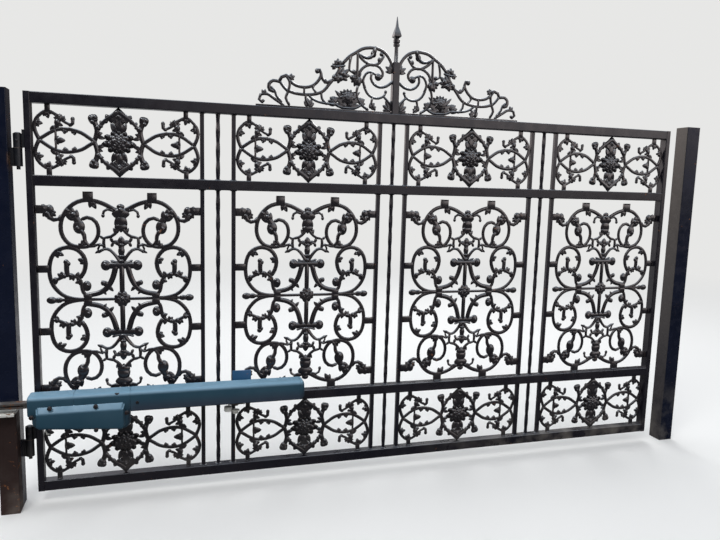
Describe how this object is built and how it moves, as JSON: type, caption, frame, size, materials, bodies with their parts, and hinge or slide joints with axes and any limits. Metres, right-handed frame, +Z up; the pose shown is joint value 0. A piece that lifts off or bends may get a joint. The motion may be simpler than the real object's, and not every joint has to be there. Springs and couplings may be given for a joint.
{
  "type": "wrought iron driveway gate",
  "caption": "Single-leaf swing driveway gate with cast scroll and collar panels, twisted bars, scrolled crest, two posts and a screw-driven swing operator.",
  "frame": {"origin": "centre of the hinge post's foot, at ground level", "axes": "+X along the closed leaf from the hinge post to the latch post, +Z up, -Y the side that the leaf opens to"},
  "size_m": [3.792, 0.235, 2.37],
  "materials": {
    "frame_paint": "gloss black",
    "casting_paint": "gloss black over cast iron",
    "post_paint": "gloss blue-black",
    "hinge_paint": "black, greasy",
    "operator_paint": "satin blue-grey",
    "bracket_paint": "satin blue",
    "rusted_primer": "matt red-brown primer with rust",
    "weathered_plate": "weathered pale steel",
    "bare_steel": "bare steel"
  },
  "bodies": {
    "posts": {"hinge_post": "post_paint", "latch_post": "post_paint", "operator_post": "rusted_primer", "operator_pivot_bracket": "weathered_plate", "upper_hinge_post_barrel": "hinge_paint", "lower_hinge_post_barrel": "hinge_paint"},
    "leaf": {"bottom_rail": "frame_paint", "crest_left": "casting_paint", "crest_post": "frame_paint", "crest_right": "casting_paint", "gate_bracket": "bracket_paint", "hinge_stile": "frame_paint", "latch_stile": "frame_paint", "lower_collar_panel_1": "casting_paint", "lower_collar_panel_2": "casting_paint", "lower_collar_panel_3": "casting_paint", "lower_collar_panel_4": "casting_paint", "lower_hinge_leaf_barrel": "hinge_paint", "lower_mid_rail": "frame_paint", "plain_bar_1": "frame_paint", "plain_bar_2": "frame_paint", "plain_bar_3": "frame_paint", "plain_bar_4": "frame_paint", "plain_bar_5": "frame_paint", "plain_bar_6": "frame_paint", "scroll_panel_1": "casting_paint", "scroll_panel_2": "casting_paint", "scroll_panel_3": "casting_paint", "scroll_panel_4": "casting_paint", "spear_finial": "casting_paint", "top_rail": "frame_paint", "twisted_bar_1": "frame_paint", "twisted_bar_2": "frame_paint", "twisted_bar_3": "frame_paint", "upper_collar_panel_1": "casting_paint", "upper_collar_panel_2": "casting_paint", "upper_collar_panel_3": "casting_paint", "upper_collar_panel_4": "casting_paint", "upper_hinge_leaf_barrel": "hinge_paint", "upper_mid_rail": "frame_paint"},
    "operator": {"motor_housing": "operator_paint", "drive_tube": "operator_paint", "tube_end_cap": "operator_paint", "control_cover": "operator_paint", "rear_yoke": "bare_steel", "drive_screw": "bare_steel"},
    "shuttle": {"drive_nut": "bare_steel"}
  },
  "joints": [
    {"name": "gate_swing", "type": "hinge", "parent": "posts", "child": "leaf", "pos_m": [0.071, 0, 1], "axis": [0, 0, -1], "range_deg": [0, 90]},
    {"name": "operator_swing", "type": "hinge", "parent": "posts", "child": "operator", "pos_m": [-0.045, -0.11, 0.515], "axis": [0, 0, -1], "range_deg": [0, 89.6]},
    {"name": "shuttle_slide", "type": "slide", "parent": "operator", "child": "shuttle", "axis": [-1, 0, 0], "range_m": [0, 0.2261]}
  ],
  "couplings": [
    {"joint": "operator_swing", "follows": "gate_swing", "ratio": 0.99536},
    {"joint": "shuttle_slide", "follows": "gate_swing", "m_per_rad": 0.14386}
  ]
}
